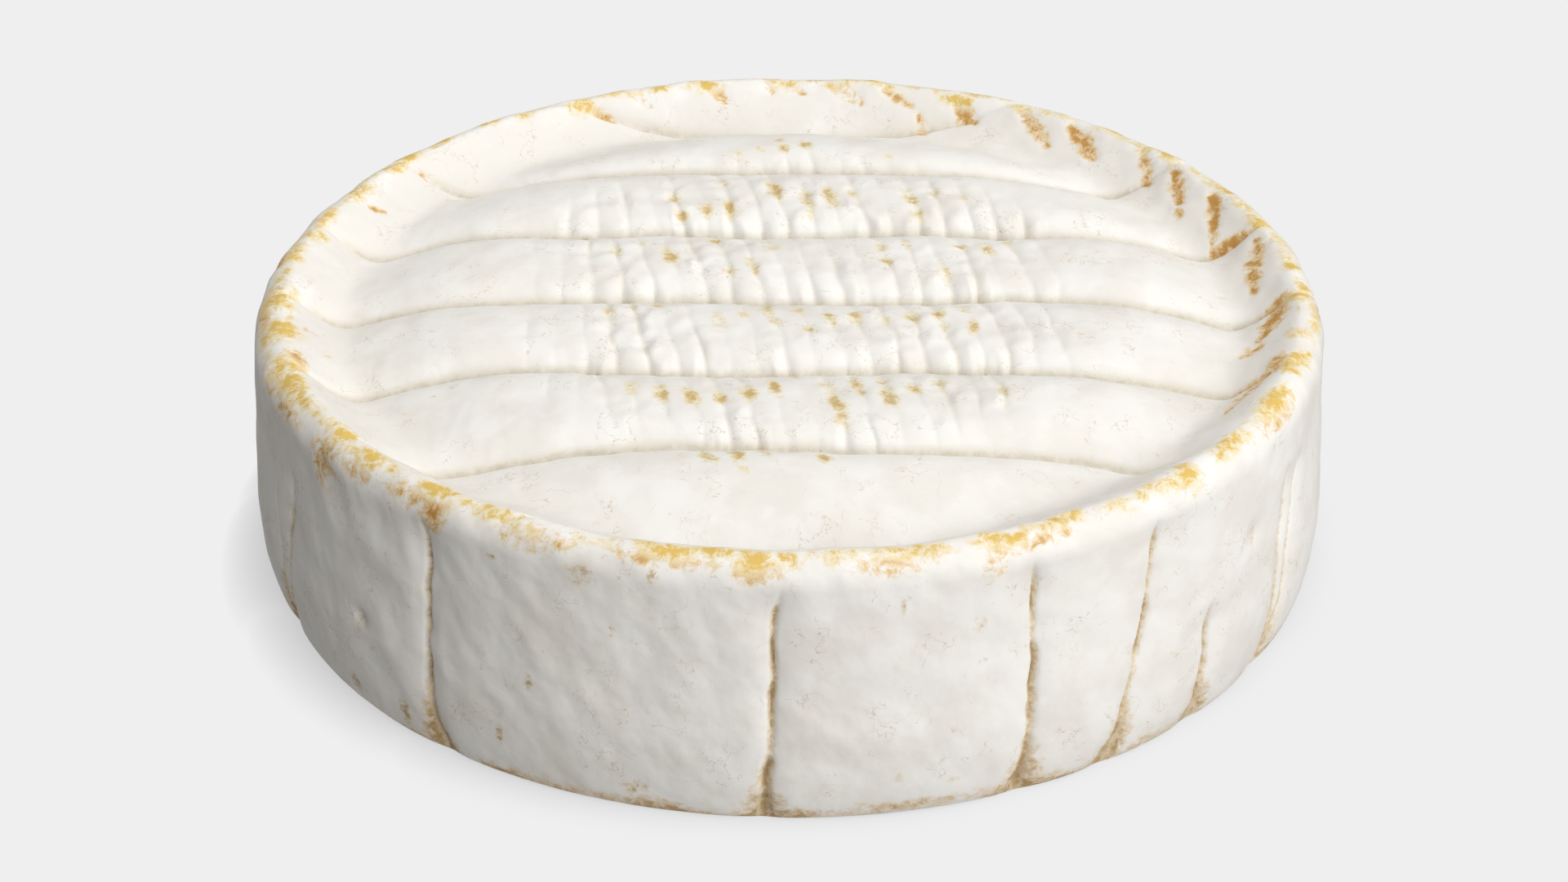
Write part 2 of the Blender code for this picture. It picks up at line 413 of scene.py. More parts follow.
def cell_value(cells, seed):
    """A fixed scattered number from -1 to 1 for each row of whole numbers."""
    mixed = np.full(len(cells), seed * 1013904223, dtype=np.int64)
    for column, prime in zip(cells.T, (374761393, 668265263, 1440662683)):
        mixed = mixed + column.astype(np.int64) * prime
    mixed = mixed & 0xFFFFFFFF
    for shift, prime in ((13, 1274126177), (16, 2246822519)):
        mixed = ((mixed ^ (mixed >> shift)) * prime) & 0xFFFFFFFF
    return ((mixed ^ (mixed >> 15)) & 0xFFFF) / 32767.5 - 1.0


def noise(points, sizes, seed):
    """Smooth seeded noise from about -1 to 1, in lumps about sizes millimetres along X, Y and Z."""
    scaled = points / np.asarray(sizes)
    cells = np.floor(scaled)
    parts = scaled - cells
    ease = parts**3 * (parts * (parts * 6.0 - 15.0) + 10.0)
    total = np.zeros(len(points))
    for corner in itertools.product((0, 1), repeat=3):
        weight = np.prod(np.where(corner, ease, 1.0 - ease), axis=1)
        for axis in range(3):
            slope = cell_value(cells + corner, seed * 3 + axis)
            total += weight * slope * (parts[:, axis] - corner[axis])
    return total * 1.6


# ---- Laying the points -------------------------------------------------------------------------------


def row_places():
    """Where the dish's rows lie in Y: one in each valley, and closest together beside the valleys."""
    last_valley = math.floor(CREST_RADIUS / RIB_PITCH)
    stops = [valley * RIB_PITCH for valley in range(-last_valley, last_valley + 1)]
    rows = []
    for low, high in zip([-CREST_RADIUS] + stops, stops + [CREST_RADIUS]):
        y = low
        while y < high - VALLEY_ROW_STEP / 2:
            rows.append(y)
            from_valley = min(y - low, high - y)
            y += VALLEY_ROW_STEP + (ROW_STEP - VALLEY_ROW_STEP) * float(smooth_step(from_valley / 1.5))
    return rows


def cross_lean(x):
    """How much a cross-rib leans: fully in the middle and on the right, not at all on the far left."""
    return CROSS_LEAN * smooth_step((x + 30.0) / 18.0)


def lattice(column_step):
    """Sheet points along ribs and cross-ribs: their X, Y, and place across the cross-ribs in pitches."""
    column_count = math.ceil(CREST_RADIUS / column_step) + 10
    columns = np.arange(-column_count, column_count + 1) * column_step
    cross_x, y = (grid.ravel() for grid in np.meshgrid(columns + CROSS_START, row_places()))
    from_middle = y - (np.floor(y / RIB_PITCH) + 0.5) * RIB_PITCH
    x = cross_x - cross_lean(cross_x) * from_middle
    return x, y, (cross_x - CROSS_START) / CROSS_PITCH


def ring_turns():
    """The angles of the points on every ring, in radians."""
    return np.arange(RING_POINTS) * 2.0 * math.pi / RING_POINTS


def fill_disc(x, y):
    """Triangles over a disc, facing up. The first points are the ring round it."""
    flat = [Vector(place) for place in zip(x, y)]
    points, _, faces, _, _, _ = delaunay_2d_cdt(flat, [], [], 0, 0.0, False)
    assert len(points) == len(flat)
    return np.array(faces)


def wall_rings():
    """Each ring's radius, height, and outward direction as (sideways, upward), from crest to foot."""
    rings = []
    top = HEIGHT - RIM_ROUND_HEIGHT
    steps = round(math.pi / 2 * (RIM_ROUND_WIDTH + RIM_ROUND_HEIGHT) / 2 / RING_STEP)
    for i in range(1, steps + 1):
        side, up = math.sin(math.pi / 2 * i / steps), math.cos(math.pi / 2 * i / steps)
        rings.append((CREST_RADIUS + RIM_ROUND_WIDTH * side, top + RIM_ROUND_HEIGHT * up, side, up))
    steps = round((top - FOOT_ROUND_HEIGHT) / RING_STEP)
    for i in range(1, steps):
        share = i / steps
        rings.append((SHOULDER_RADIUS + FOOT_FLARE * share, top - (top - FOOT_ROUND_HEIGHT) * share, 1.0, 0.0))
    steps = round(FOOT_ROUND_HEIGHT * 1.1 / RING_STEP)
    for i in range(steps + 1):
        side, down = math.cos(math.pi / 2 * i / steps), math.sin(math.pi / 2 * i / steps)
        rings.append((FLAT_RADIUS + FOOT_ROUND_WIDTH * side, FOOT_ROUND_HEIGHT * (1.0 - down), side, 0.0))
    return rings


# ---- Relief ----------------------------------------------------------------------------------------


def dish_depth(radius):
    """How deep the dish lies under the rim's crest."""
    inward = MOAT_RADIUS - radius
    down = np.clip((CREST_RADIUS - radius) / (CREST_RADIUS - MOAT_RADIUS), 0.0, 1.0)
    wall = MOAT_DEPTH * smooth_step(down**WALL_BIAS)
    climb = (np.hypot(inward, MOAT_ROUNDING) - MOAT_ROUNDING) / PLATEAU_SLOPE
    rise = (MOAT_DEPTH - PLATEAU_DEPTH) * (1.0 - (1.0 - np.clip(climb, 0.0, 1.0)) ** 2)
    return np.where(inward > 0.0, MOAT_DEPTH - rise, wall)


def valley_stray(x, y):
    """How far the valleys stray towards the back, easing from each valley's stray to the next's."""
    stray = np.zeros_like(x)
    for valley, (reach, wavelength, front_x) in VALLEY_STRAY.items():
        nearness = np.cos(math.pi / 2 * np.clip(y / RIB_PITCH - valley, -1.0, 1.0)) ** 2
        stray -= nearness * reach * np.cos((x - front_x) * 2.0 * math.pi / wavelength)
    return stray


def rib_section(share):
    """A rib's height from 0 to 1: a long far side, a full near side that drops into the valley."""
    far = np.clip(share / RIB_CREST_SHARE, 0.0, 1.0)
    near = np.clip((share - RIB_CREST_SHARE) / (1.0 - RIB_CREST_SHARE), 0.0, 1.0)
    far_side = 1.0 - (1.0 - far) ** 3.4
    near_side = np.sqrt(1.0 - near**3)
    return np.where(share < RIB_CREST_SHARE, far_side, near_side)


def valley_distance(y):
    """Distance to the nearest valley line."""
    return np.abs(y / RIB_PITCH - np.round(y / RIB_PITCH)) * RIB_PITCH


def cross_strength(x, y, cross):
    """Where the cross-ribs show: the middle of the dish, each crease with its own strength."""
    inside = smooth_step((CROSS_REACH - np.hypot(x, y)) / 9.0) * smooth_step((32.0 - np.abs(x - 2.0)) / 12.0)
    own = cell_value(np.stack([np.round(cross), np.floor(y / RIB_PITCH)], axis=1), 11)
    flat = np.stack([x, y, np.zeros_like(x)], axis=1)
    patchy = 0.75 + 0.9 * noise(flat, 7.0, 6)
    return inside * np.clip(0.62 + 0.45 * own, 0.1, 1.1) * np.clip(patchy, 0.15, 1.25)


def cross_relief(cross, share, strength):
    """The cross-ribs: full backs with a narrow crease between each two."""
    part = cross - np.floor(cross)
    back = (4.0 * part * (1.0 - part)) ** 0.9
    narrow = hump(np.minimum(part, 1.0 - part) * CROSS_PITCH, 0.22)
    lift = 0.65 + 0.35 * smooth_step(share / 0.7)
    return -CROSS_DEPTH * strength * lift * (1.0 - back + 0.25 * narrow)


def dab_mask(cross, y, share):
    """The ochre dabs, each lying in its crease."""
    mask = np.zeros_like(cross)
    band = np.floor(y / RIB_PITCH)
    for rib, dabs in DABS.items():
        for crease, down, half_length, strength in dabs:
            sideways = (cross - crease) * CROSS_PITCH / 0.8
            lengthways = (share - down) * RIB_PITCH / (half_length * 1.4)
            mask = np.maximum(mask, strength * patch(sideways, lengthways) * (band == rib))
    return mask


def crest_mask(patches, angle, outward):
    """Patches placed by angle and distance from the crest."""
    mask = np.zeros_like(angle)
    for at, half_turn, out, half_out, strength in patches:
        sideways = turn_between(angle, at) / (half_turn * STAIN_SPREAD)
        lengthways = (outward - out) / (half_out * STAIN_SPREAD)
        mask = np.maximum(mask, strength * patch(sideways, lengthways))
    return mask


def streak_mask(angle, outward, spread):
    """The rusty folds of the inner wall, widened by spread."""
    mask = np.zeros_like(angle)
    degree = math.radians(1.0) * CREST_RADIUS
    for from_angle, from_out, to_angle, to_out, half_width, strength in INNER_STREAKS:
        across = (to_angle - from_angle) * degree
        along = to_out - from_out
        x = turn_between(angle, from_angle) * degree
        y = outward - from_out
        share = np.clip((x * across + y * along) / (across**2 + along**2), 0.0, 1.0)
        away = np.hypot(x - share * across, y - share * along)
        taper = 0.55 + 0.45 * np.sin(math.pi * share)
        mask = np.maximum(mask, strength * patch(away / (half_width * spread * taper), 0.0))
    return mask


def rim_marks(points, angle, outward):
    """The stains on both sides of the crest: the patches, and a faint uneven band between them."""
    rust = np.maximum(crest_mask(RUST_PATCHES, angle, outward), streak_mask(angle, outward, 1.2 * STAIN_SPREAD))
    at_back = smooth_step((90.0 - np.abs(turn_between(angle, 80.0))) / 30.0)
    uneven = np.clip(0.28 + 0.22 * at_back + 0.9 * noise(points, 3.0, 61), 0.0, 0.8)
    band = hump(outward - 0.9, 1.3) * uneven
    return {"ochre": np.maximum(crest_mask(OCHRE_PATCHES, angle, outward), band), "rust": rust}


def rim_relief(points, angle, outward):
    """How the rim rises and falls: soft lumps, the folds of the inner wall, and the valleys' ends."""
    lumps = 0.26 * noise(points, 7.0, 41) + 0.11 * noise(points, 2.6, 42)
    folds = -0.28 * streak_mask(angle, outward, 2.4)
    ends = -0.25 * hump(valley_distance(points[:, 1]), 0.40) * smooth_step((2.5 - outward) / 2.5)
    return hump(outward, 5.0) * (lumps + ends) + folds


def crack_fields(points, angle, z):
    """How far the cracks draw the wall in, a mask of their bottoms, and one of the brown at their feet."""
    inset = np.zeros_like(z)
    mask = np.zeros_like(z)
    wedge = np.zeros_like(z)
    sway = 0.50 * noise(points, 6.0, 21) + 0.22 * noise(points, 2.2, 22)
    rough = np.clip(0.85 + 1.1 * noise(points, 3.2, 23), 0.3, 1.4)
    for top_angle, foot_angle, top_z, depth in CRACKS:
        share = np.clip(z / top_z, 0.0, 1.0)
        line = foot_angle + (top_angle - foot_angle) * share**0.7
        across = np.radians(turn_between(angle, line)) * SHOULDER_RADIUS + sway
        fade = smooth_step((top_z + 2.0 - z) / 3.5)
        width = 0.28 + 0.3 * (1.0 - share) ** 2
        cut = 0.75 * depth * rough * hump(across, width)
        roll = 0.40 * hump(across, 1.4) + 0.22 * hump(across, 5.0)
        corner = 1.1 * hump(across, 1.7) * hump(z, 2.6)
        inset = np.maximum(inset, fade * (cut + roll + corner))
        mask = np.maximum(mask, fade * hump(across, width * 1.1) * np.clip(0.4 + 0.6 * rough, 0.3, 1.0))
        brown = 0.9 * hump(across, 0.5 + 2.0 * np.clip(1.0 - z / 9.0, 0.0, 1.0)) * smooth_step((11.0 - z) / 10.0)
        wedge = np.maximum(wedge, depth * brown)
    return inset, mask, wedge


def wall_relief(points, angle, z):
    """Slanting lumps on the wall, strongest at the front left, and its pits."""
    slant = 0.4 * z / SHOULDER_RADIUS
    x, y = points[:, 0], points[:, 1]
    turned = np.stack([x * np.cos(slant) - y * np.sin(slant), x * np.sin(slant) + y * np.cos(slant), z], axis=1)
    low = 0.22 * noise(turned, (5.0, 5.0, 6.0), 31) + 0.07 * noise(turned, (2.2, 2.2, 2.8), 32)
    broad = 0.30 * noise(points, (16.0, 16.0, 40.0), 33)
    pits = np.zeros_like(z)
    for at, height, size, depth in PITS:
        across = np.radians(turn_between(angle, at)) * SHOULDER_RADIUS
        pits -= depth * hump(np.hypot(across, z - height), size)
    return low * (0.55 + 0.45 * hump(turn_between(angle, -125.0), 40.0)) + broad + pits


def wall_stain_mask(angle, z):
    """The small stains scattered over the wall."""
    mask = np.zeros_like(z)
    for at, height, half_width, half_height, strength in WALL_STAINS:
        across = np.radians(turn_between(angle, at)) * SHOULDER_RADIUS
        mask = np.maximum(mask, strength * patch(across / half_width, (z - height) / half_height))
    return mask


# ---- The rind ----------------------------------------------------------------------------------------


def form_dish(x, y, cross):
    """Sheet points moved into the dish: returns their places and the marks that lie on them."""
    radius = np.hypot(x, y)
    angle = np.degrees(np.arctan2(y, x))
    outward = (radius - CREST_RADIUS) * INNER_WALL_STRETCH
    plain = np.stack([x, y, np.full_like(x, HEIGHT)], axis=1)
    inner = smooth_step((CREST_RADIUS - radius) / 4.0)
    share = np.mod(-y / RIB_PITCH, 1.0)
    strength = cross_strength(x, y, cross)
    part = cross - np.floor(cross)
    scallop = -0.9 * (4.0 * part * (1.0 - part) - 0.5) * strength * hump(valley_distance(y), 2.5)
    stray = valley_stray(x, y) + 0.2 * noise(plain, (5.0, 8.0, 1.0), 8) + scallop
    sway = 0.50 * noise(plain, (4.0, 6.0, 1.0), 9) + 0.18 * noise(plain, (1.6, 2.4, 1.0), 10)
    full = 0.75 + 0.25 * smooth_step((MOAT_RADIUS - radius) / 10.0)
    fade = (0.1 + 0.9 * smooth_step((CREST_RADIUS - radius) / 4.5)) * smooth_step(CREST_RADIUS - radius)
    ribs = full * fade * (RIB_HEIGHT * rib_section(share) - VALLEY_SINK)
    crease = -0.30 * hump(valley_distance(y), 0.25) * inner
    lumps = 0.16 * noise(plain, (9.0, 7.0, 1.0), 1) + 0.08 * noise(plain, 3.2, 2)
    knobs = (0.20 + 0.20 * smooth_step(share / 0.8)) * noise(plain, (1.9, 2.2, 1.0), 3) * strength
    rise = ribs + crease + cross_relief(cross, share, strength) + (lumps + knobs) * inner
    z = HEIGHT - dish_depth(radius) + rise + rim_relief(plain, angle, outward)
    marks = rim_marks(plain, angle, outward)
    # Painted shade: the crease mark tints the valley lines darker, partly dirt and partly shade painted where
    # the valleys lie in shadow.
    marks["crease"] = hump(valley_distance(y), 0.38) * inner
    marks["groove"] = hump(np.minimum(part, 1.0 - part) * CROSS_PITCH, 0.35) * strength
    marks["ribbed"] = np.clip(strength, 0.0, 1.0)
    marks["thin"] = hump(outward + 5.0, 3.5) * (0.5 + 0.5 * smooth_step(-x / 20.0))
    marks["dab"] = dab_mask(cross, y, share)
    return np.stack([x + sway * inner, y + stray * inner, z], axis=1), marks


def form_wall(points, direction, outward):
    """Ring points moved into the wall's relief: returns their places and marks."""
    x, y, z = points.T
    side, up = direction.T
    angle = np.degrees(np.arctan2(y, x))
    inset, crack, wedge = crack_fields(points, angle, z)
    below_rim = smooth_step((outward - 0.5) / 3.0)
    push = rim_relief(points, angle, outward) + below_rim * (wall_relief(points, angle, z) - inset)
    spread = 1.0 + side * push / np.hypot(x, y)
    marks = rim_marks(points, angle, outward)
    marks["crack"] = crack * below_rim
    patchy = np.clip(0.62 + 1.1 * noise(points, (7.0, 7.0, 3.0), 62), 0.25, 1.0)
    marks["foot"] = np.maximum(smooth_step((3.4 - z) / 3.4) * patchy, wedge)
    marks["blemish"] = wall_stain_mask(angle, z)
    return np.stack([x * spread, y * spread, z + up * push], axis=1), marks


def make_top():
    """The top sheet: its points, triangles and marks. Its first points are the crest ring's."""
    turns = ring_turns()
    x, y, cross = lattice(CROSS_PITCH / COLUMNS_PER_CROSS_RIB)
    kept = np.hypot(x, y) < CREST_RADIUS - 0.2
    x = np.concatenate([CREST_RADIUS * np.cos(turns), x[kept]])
    y = np.concatenate([CREST_RADIUS * np.sin(turns), y[kept]])
    cross = np.concatenate([np.zeros(RING_POINTS), cross[kept]])
    formed, marks = form_dish(x, y, cross)
    return formed, fill_disc(x, y), marks


def make_wall(first_ring):
    """The rings from just outside the crest to the foot, and the triangles that join them up."""
    turns = ring_turns()
    points, direction, outward = [], [], []
    run = 0.0
    before = (CREST_RADIUS, HEIGHT)
    for radius, z, side, up in wall_rings():
        run += math.hypot(radius - before[0], z - before[1])
        before = (radius, z)
        points.append(np.stack([radius * np.cos(turns), radius * np.sin(turns), np.full_like(turns, z)], axis=1))
        direction.append(np.tile((side, up), (RING_POINTS, 1)))
        outward.append(np.full(RING_POINTS, run))
    column = np.arange(RING_POINTS)
    beside = np.roll(column, -1)
    faces = []
    upper = column
    for i in range(len(points)):
        lower = first_ring + i * RING_POINTS + column
        faces.append(np.stack([upper, lower, lower[beside]], axis=1))
        faces.append(np.stack([upper, lower[beside], upper[beside]], axis=1))
        upper = lower
    formed, marks = form_wall(np.concatenate(points), np.concatenate(direction), np.concatenate(outward))
    return formed, np.concatenate(faces), marks


def make_foot(ring, first_inside):
    """The sheet that closes the foot, with shallow marks of the mat it stood on."""
    turns = ring_turns()
    x, y, cross = lattice(CROSS_PITCH / 3)
    kept = np.hypot(x, y) < FLAT_RADIUS - 0.8
    x, y, cross = x[kept], y[kept], cross[kept]
    all_x = np.concatenate([FLAT_RADIUS * np.cos(turns), x])
    all_y = np.concatenate([FLAT_RADIUS * np.sin(turns), y])
    numbers = np.concatenate([ring, first_inside + np.arange(len(x))])
    faces = numbers[fill_disc(all_x, all_y)][:, ::-1]
    inside = smooth_step((FLAT_RADIUS - np.hypot(x, y)) / 4.0)
    part = cross - np.floor(cross)
    valley = 0.35 * hump(valley_distance(y), 1.2)
    crossing = 0.12 * (1.0 - (4.0 * part * (1.0 - part)) ** 0.6)
    lumps = 0.12 * noise(np.stack([x, y, np.zeros_like(x)], axis=1), 6.0, 51)
    z = inside * np.maximum(valley + crossing + lumps, 0.0)
    return np.stack([x, y, z], axis=1), faces, {"groove": 0.5 * inside * hump(valley_distance(y), 0.8)}


def mesh_from(points, faces):
    """A mesh of triangles from arrays."""
    mesh = bpy.data.meshes.new("cheese_rind")
    mesh.vertices.add(len(points))
    mesh.loops.add(faces.size)
    mesh.polygons.add(len(faces))
    mesh.vertices.foreach_set("co", (points * MM).astype(np.float32).ravel())
    mesh.loops.foreach_set("vertex_index", faces.astype(np.int32).ravel())
    mesh.polygons.foreach_set("loop_start", np.arange(0, faces.size, 3, dtype=np.int32))
    mesh.update(calc_edges=True)
    mesh.validate()
    mesh.shade_smooth()
    return mesh


def make_rind():
    """The rind as one closed mesh object, with its marks as attributes."""
    top, top_faces, top_marks = make_top()
    wall, wall_faces, wall_marks = make_wall(len(top))
    first_inside = len(top) + len(wall)
    last_ring = np.arange(first_inside - RING_POINTS, first_inside)
    foot, foot_faces, foot_marks = make_foot(last_ring, first_inside)
    mesh = mesh_from(np.concatenate([top, wall, foot]), np.concatenate([top_faces, wall_faces, foot_faces]))
    for name in ("ochre", "rust", "dab", "crease", "groove", "ribbed", "thin", "crack", "foot", "blemish"):
        parts = ((top_marks, top), (wall_marks, wall), (foot_marks, foot))
        values = [marks.get(name, np.zeros(len(points))) for marks, points in parts]
        layer = mesh.attributes.new(name, "FLOAT", "POINT")
        layer.data.foreach_set("value", np.concatenate(values).astype(np.float32))
    rind = bpy.data.objects.new("cheese_rind", mesh)
    bpy.context.scene.collection.objects.link(rind)
    return rind


# ---- Material ----------------------------------------------------------------------------------------


def rgb(red, green, blue):
    return (red, green, blue, 1.0)


class Nodes:
    """Short calls for wiring up one material's nodes."""

    def __init__(self, material):
        self.tree = material.node_tree
        self.shader = self.tree.nodes["Principled BSDF"]

    def add(self, kind, inputs=(), **settings):
        """A new node with its settings, its inputs linked or given values."""
        node = self.tree.nodes.new(kind)
        for name, value in settings.items():
            setattr(node, name, value)
        for name, value in dict(inputs).items():
            self.feed(node.inputs[name], value)
        return node

    def feed(self, socket, value):
        if isinstance(value, bpy.types.NodeSocket):
            self.tree.links.new(value, socket)
        else:
            socket.default_value = value

    def mark(self, name):
        return self.add("ShaderNodeAttribute", attribute_name=name).outputs["Fac"]

    def math(self, operation, first, second):
        return self.add("ShaderNodeMath", {0: first, 1: second}, operation=operation).outputs[0]

    def place(self):
        """Place on the object in millimetres."""
        object_place = self.add("ShaderNodeTexCoord").outputs["Object"]
        scale = self.add("ShaderNodeVectorMath", {0: object_place, "Scale": 1.0 / MM}, operation="SCALE")
        return scale.outputs["Vector"]

    def noise(self, place, size, detail, roughness=0.55, distortion=0.0):
        inputs = {"Vector": place, "Scale": 1.0 / size, "Detail": detail, "Roughness": roughness}
        inputs["Distortion"] = distortion
        return self.add("ShaderNodeTexNoise", inputs).outputs["Fac"]

    def ramp(self, value, low, high, to_low=0.0, to_high=1.0):
        """Eases value from to_low at low to to_high at high."""
        inputs = {"Value": value, "From Min": low, "From Max": high, "To Min": to_low, "To Max": to_high}
        return self.add("ShaderNodeMapRange", inputs, interpolation_type="SMOOTHSTEP").outputs["Result"]

    def blend(self, factor, first, second):
        """A colour between two others."""
        node = self.add("ShaderNodeMix", data_type="RGBA", clamp_factor=True)
        self.feed(node.inputs[0], factor)
        self.feed(node.inputs[6], first)
        self.feed(node.inputs[7], second)
        return node.outputs[2]

    def stain_and_shade(self, color, mark, grain, spread, tints):
        """A tint where the mark is, for stains and for the painted shade in the valley lines: its edge is broken
        up by grain, and its tint deepens inwards.
        """
        broken = self.math("ADD", mark, self.ramp(grain, 0.25, 0.75, -spread, spread))
        inside = self.ramp(mark, 0.02, 0.30)
        edge_tint, core_tint = tints
        edge = self.math("MULTIPLY", self.ramp(broken, 0.05, 0.60, 0.0, 0.85), inside)
        core = self.math("MULTIPLY", self.ramp(broken, 0.45, 1.05), inside)
        return self.blend(core, self.blend(edge, color, edge_tint), core_tint)


MOULD = rgb(0.875, 0.855, 0.815)
THIN_MOULD = rgb(0.825, 0.79, 0.735)
HAIRLINE = rgb(0.56, 0.45, 0.28)
FLECK = rgb(0.62, 0.38, 0.17)

# Each mark's tint at its edge and in its middle. Most are stains; the valley-line tint is partly dirt and partly
# painted shade, and the groove tint is a darker tan along the cross-rib creases and the foot's mat marks.
OCHRE = (rgb(0.83, 0.71, 0.44), rgb(0.73, 0.49, 0.11))
RUST = (rgb(0.79, 0.58, 0.29), rgb(0.55, 0.28, 0.06))
DAB = (rgb(0.81, 0.71, 0.47), rgb(0.62, 0.44, 0.18))
BLEMISH = (rgb(0.78, 0.70, 0.56), rgb(0.52, 0.39, 0.22))
# Valley-line tint: partly dirt, partly painted shade in the valleys.
CREASE_DIRT_AND_SHADE = (rgb(0.82, 0.78, 0.69), rgb(0.62, 0.56, 0.44))
# Groove tint: a darker tan along the creases between cross-ribs and along the foot's mat marks.
GROOVE = (rgb(0.84, 0.79, 0.67), rgb(0.77, 0.67, 0.46))
CRACK = (rgb(0.74, 0.62, 0.43), rgb(0.46, 0.31, 0.15))
FOOT = (rgb(0.76, 0.61, 0.41), rgb(0.46, 0.29, 0.12))


def hairlines(n, place):
    """A mark along thin wandering lines that come and go: crazing in the skin."""
    bend = n.noise(place, 2.6, 3.0, 0.6)
    away = n.math("ABSOLUTE", n.math("SUBTRACT", bend, 0.5), 0.0)
    line = n.ramp(away, 0.0, 0.012, 1.0, 0.0)
    near_ribs = n.math("MULTIPLY", n.mark("ribbed"), 0.10)
    patchy = n.math("ADD", n.noise(place, 4.5, 3.0), near_ribs)
    return n.math("MULTIPLY", line, n.ramp(patchy, 0.50, 0.62))


def freckles(n, place):
    """A mark on small scattered specks, more of them beside the rusty stains."""
    near_rust = n.math("MULTIPLY", n.mark("rust"), 0.12)
    speck = n.ramp(n.math("ADD", n.noise(place, 1.0, 4.0, 0.7), near_rust), 0.68, 0.78)
    return n.math("MULTIPLY", speck, n.ramp(n.noise(place, 9.0, 2.0), 0.46, 0.62))


def rind_material():
    """White mould over a yellow skin: the skin shows where the marks are, broken up by fine noise."""
    material = bpy.data.materials.new("rind")
    material.use_nodes = True
    n = Nodes(material)
    place = n.place()
    coarse = n.noise(place, 6.0, 4.0)
    brushed = n.noise(place, 1.1, 8.0, 0.72, 0.5)
    tufts = n.noise(place, 0.7, 7.0, 0.7, 0.4)
    grain = n.noise(place, 0.35, 4.0, 0.6)
    thin = n.math("ADD", coarse, n.math("MULTIPLY", n.mark("thin"), 0.3))
    color = n.blend(n.ramp(thin, 0.4, 0.65), MOULD, THIN_MOULD)
    color = n.blend(n.math("MULTIPLY", freckles(n, place), 0.55), color, FLECK)
    color = n.blend(n.math("MULTIPLY", hairlines(n, place), 0.55), color, HAIRLINE)
    color = n.stain_and_shade(color, n.math("MULTIPLY", n.mark("groove"), 0.45), brushed, 0.5, GROOVE)
    color = n.stain_and_shade(color, n.mark("foot"), brushed, 0.45, FOOT)
    # Painted shade, with some dirt, along the valley lines.
    color = n.stain_and_shade(color, n.math("MULTIPLY", n.mark("crease"), 0.75), brushed, 0.20, CREASE_DIRT_AND_SHADE)
    color = n.stain_and_shade(color, n.mark("crack"), tufts, 0.30, CRACK)
    color = n.stain_and_shade(color, n.mark("blemish"), tufts, 0.60, BLEMISH)
    color = n.stain_and_shade(color, n.mark("dab"), brushed, 0.55, DAB)
    color = n.stain_and_shade(color, n.mark("rust"), brushed, 0.60, RUST)
    color = n.stain_and_shade(color, n.mark("ochre"), brushed, 0.60, OCHRE)
    n.feed(n.shader.inputs["Base Color"], color)
    n.shader.inputs["Roughness"].default_value = 0.65
    fine = n.add("ShaderNodeBump", {"Height": grain, "Strength": 0.4, "Distance": 0.04 * MM})
    ripple = n.noise(place, 1.8, 1.0)
    inputs = {"Height": ripple, "Strength": 0.5, "Distance": 0.20 * MM, "Normal": fine.outputs["Normal"]}
    bump = n.add("ShaderNodeBump", inputs)
    n.feed(n.shader.inputs["Normal"], bump.outputs["Normal"])
    return material


# ---- Stage -------------------------------------------------------------------------------------------

CAMERA_ELEVATION = 29.46
CAMERA_DISTANCE = 0.440
CAMERA_TARGET = Vector((-0.0006, 0.0, 0.0112))
CAMERA_LENS = 95.95

# Wide soft glows in the surroundings light the wheel: turn and rise of each one's middle, how
# closely it gathers round it, brightness. The last two are for views of the back and the foot.
GLOWS = (
    (-50.0, 16.0, 3.82, 2.24),
    (59.0, 80.0, 4.38, 1.84),
    (105.0, -30.0, 8.0, 1.20),
    (0.0, -90.0, 8.0, 0.75),
)
# What is thrown back from the rest of the room.
FILL = (0.022, 0.018, 0.012)

FLOOR_BRIGHTNESS = 0.863
# Painted shadow on the floor: an ambient occlusion node, leaning towards the light, dims the floor's glow beside
# the wheel.
FLOOR_SHADE_REACH = 0.006
FLOOR_SHADE_DEPTH = 0.75
FLOOR_SHADE_LEAN = (-55.0, 12.0)
BACKDROP_RADIUS = 3.0
BACKDROP_HEIGHT = 24.0


def towards(turn, rise):
    """The unit vector that points at a turn from +X and a rise from the floor, both in degrees."""
    turn, rise = math.radians(turn), math.radians(rise)
    return Vector((math.cos(rise) * math.cos(turn), math.cos(rise) * math.sin(turn), math.sin(rise)))


def link(name, data):
    """A new object in the scene."""
    thing = bpy.data.objects.new(name, data)
    bpy.context.scene.collection.objects.link(thing)
    return thing


def make_camera():
    """The camera, looking down along +Y at the front of the wheel."""
    data = bpy.data.cameras.new("camera")
    data.sensor_width = 36.0
    data.lens = CAMERA_LENS
    data.clip_start = 0.01
    camera = link("camera", data)
    camera.location = CAMERA_TARGET + towards(-90.0, CAMERA_ELEVATION) * CAMERA_DISTANCE
    camera.rotation_euler = (math.radians(90.0 - CAMERA_ELEVATION), 0.0, 0.0)
    bpy.context.scene.camera = camera


